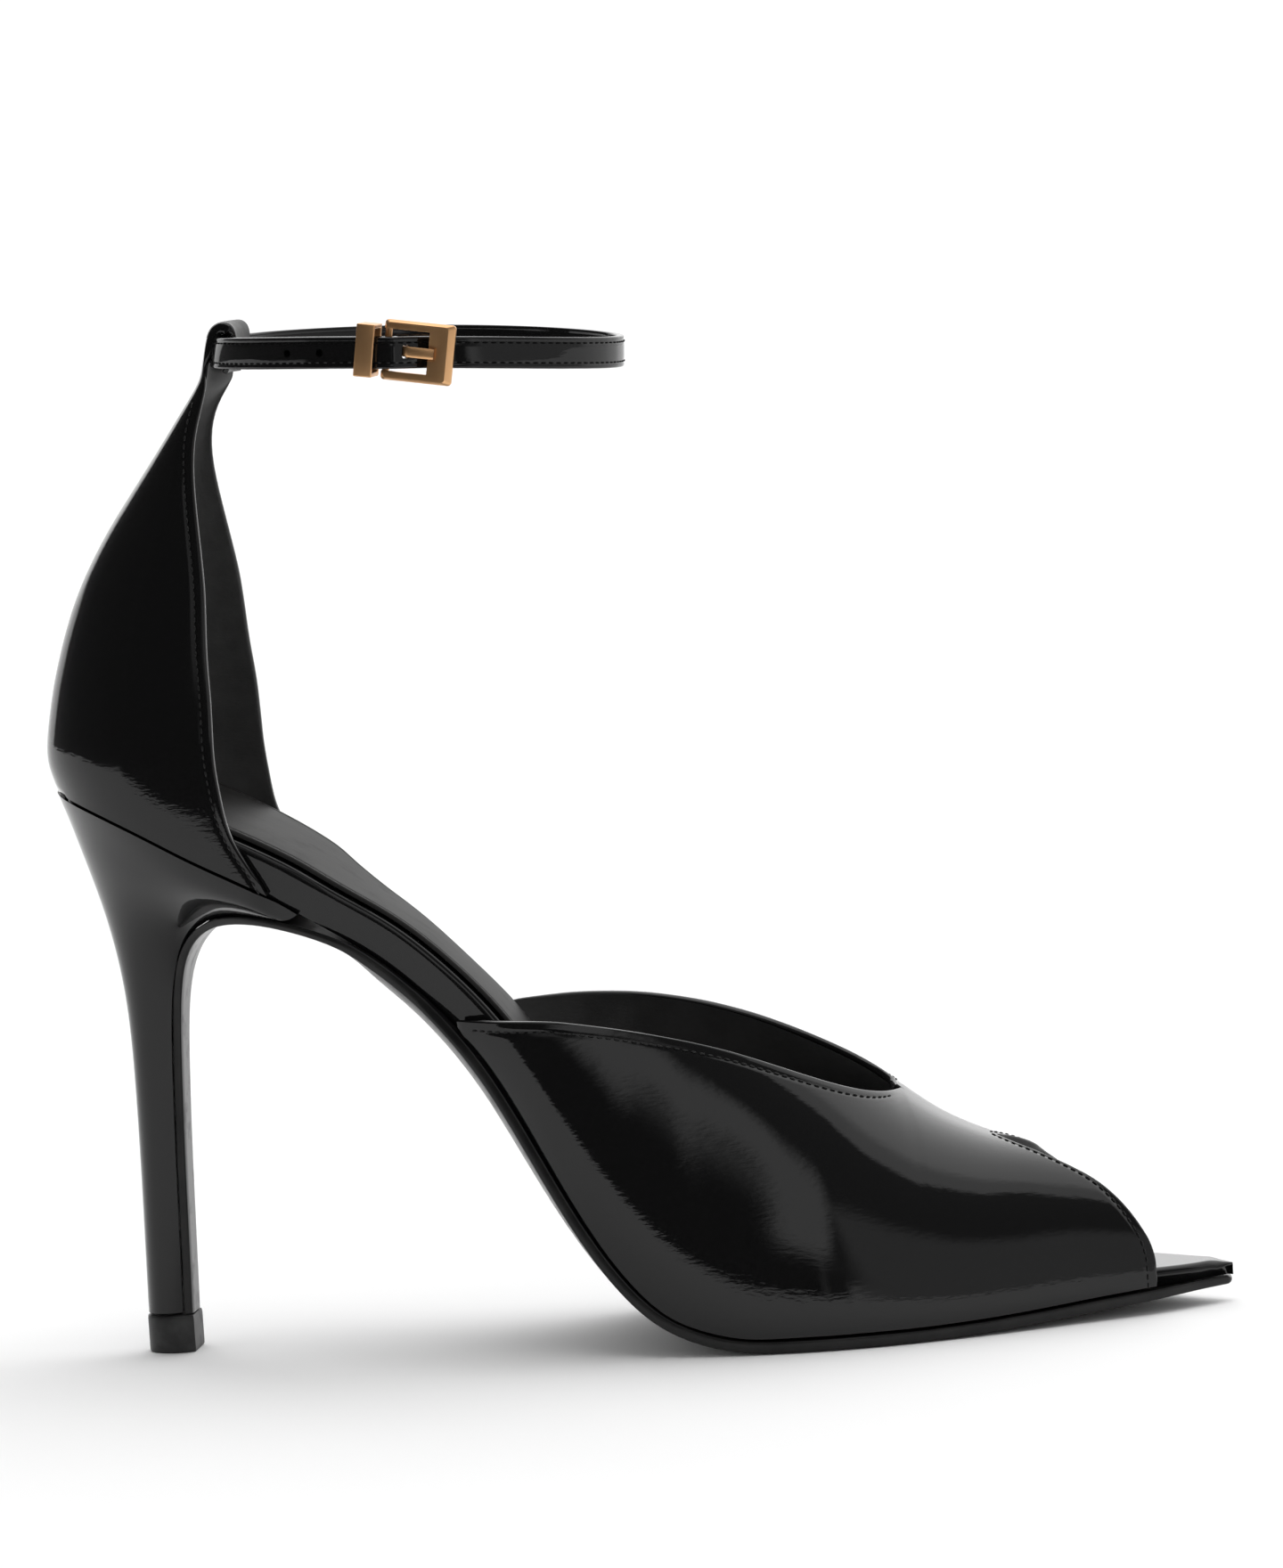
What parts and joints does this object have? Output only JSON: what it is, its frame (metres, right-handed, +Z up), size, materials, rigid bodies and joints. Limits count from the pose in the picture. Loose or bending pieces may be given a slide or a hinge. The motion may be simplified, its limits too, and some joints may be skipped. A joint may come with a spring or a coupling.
{
  "type": "ankle strap pump",
  "caption": "High-heeled women's pump for the right foot with an open toe, a V throat, a closed heel counter and a thin buckled ankle strap.",
  "frame": {"origin": "on the floor under the middle of the shoe's bounding box", "axes": "+X from heel to toe, +Z up, +Y to the inner (medial) side of this right shoe"},
  "size_m": [0.217, 0.0724, 0.1942],
  "materials": {
    "patent_leather": "patent gloss",
    "insole_cover": "patent gloss",
    "sock_leather": "matte",
    "sole_leather": "semi-gloss",
    "heel_cover": "gloss",
    "lift_rubber": "matte",
    "gold_metal": "polished"
  },
  "bodies": {
    "root": {"outsole": "sole_leather", "heel": "heel_cover", "top_lift": "lift_rubber", "insole": "insole_cover", "sock": "sock_leather", "vamp": "patent_leather", "counter": "patent_leather", "ankle_strap": "patent_leather", "keeper": "gold_metal", "buckle_frame": "gold_metal", "prong": "gold_metal"}
  },
  "joints": []
}
